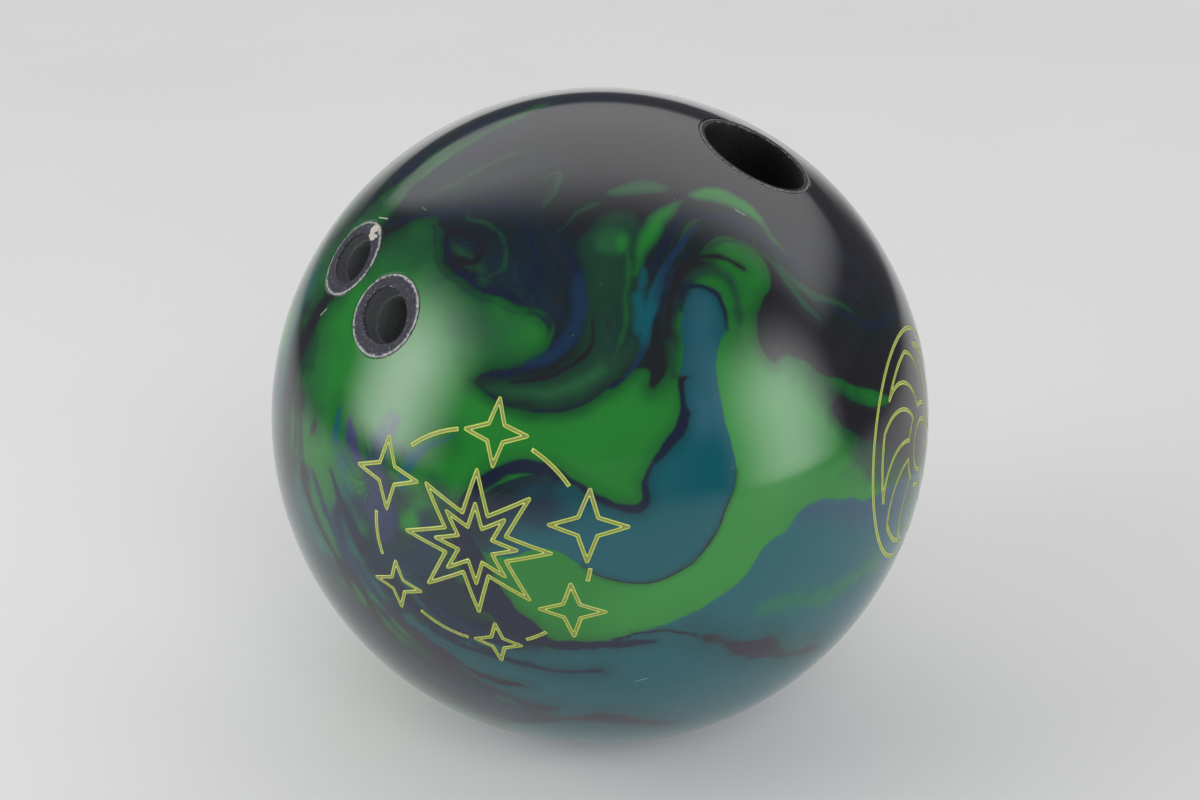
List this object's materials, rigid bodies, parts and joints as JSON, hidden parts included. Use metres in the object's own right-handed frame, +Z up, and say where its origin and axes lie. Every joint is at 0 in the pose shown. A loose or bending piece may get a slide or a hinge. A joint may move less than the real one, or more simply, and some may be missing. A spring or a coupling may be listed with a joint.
{
  "type": "bowling ball",
  "caption": "Drilled ten-pin bowling ball in swirled green, blue and black, with oval finger grips and an open sleeve for a removable thumb slug",
  "frame": {"origin": "centre of the ball", "axes": "+Z up as the ball rests on the floor, -Y is the side that carries the front emblem, +X to its right as seen from the front"},
  "size_m": [0.217, 0.217, 0.217],
  "materials": {
    "coverstock": "polished reactive resin, green, teal and near-black swirls",
    "core_filler": "poured filler, matte",
    "weight_block": "filled resin, matte",
    "flip_block": "dense filled resin, matte",
    "core_pin": "polished flush with the cover",
    "grip_rubber": "soft speckled vinyl, sanded rim",
    "glue": "clear cured adhesive",
    "thumb_sleeve": "black urethane, turned",
    "foam": "closed-cell foam",
    "emblem_paint": "yellow-green fill in an engraved line"
  },
  "bodies": {
    "root": {"coverstock": "coverstock", "outer_core": "core_filler", "weight_block": "weight_block", "flip_block": "flip_block", "core_pin": "core_pin", "middle_finger_insert": "grip_rubber", "ring_finger_insert": "grip_rubber", "middle_finger_glue": "glue", "ring_finger_glue": "glue", "thumb_sleeve": "thumb_sleeve", "thumb_sleeve_foam": "foam", "thumb_sleeve_glue": "glue", "front_emblem_paint": "emblem_paint", "side_emblem_paint": "emblem_paint"}
  },
  "joints": []
}
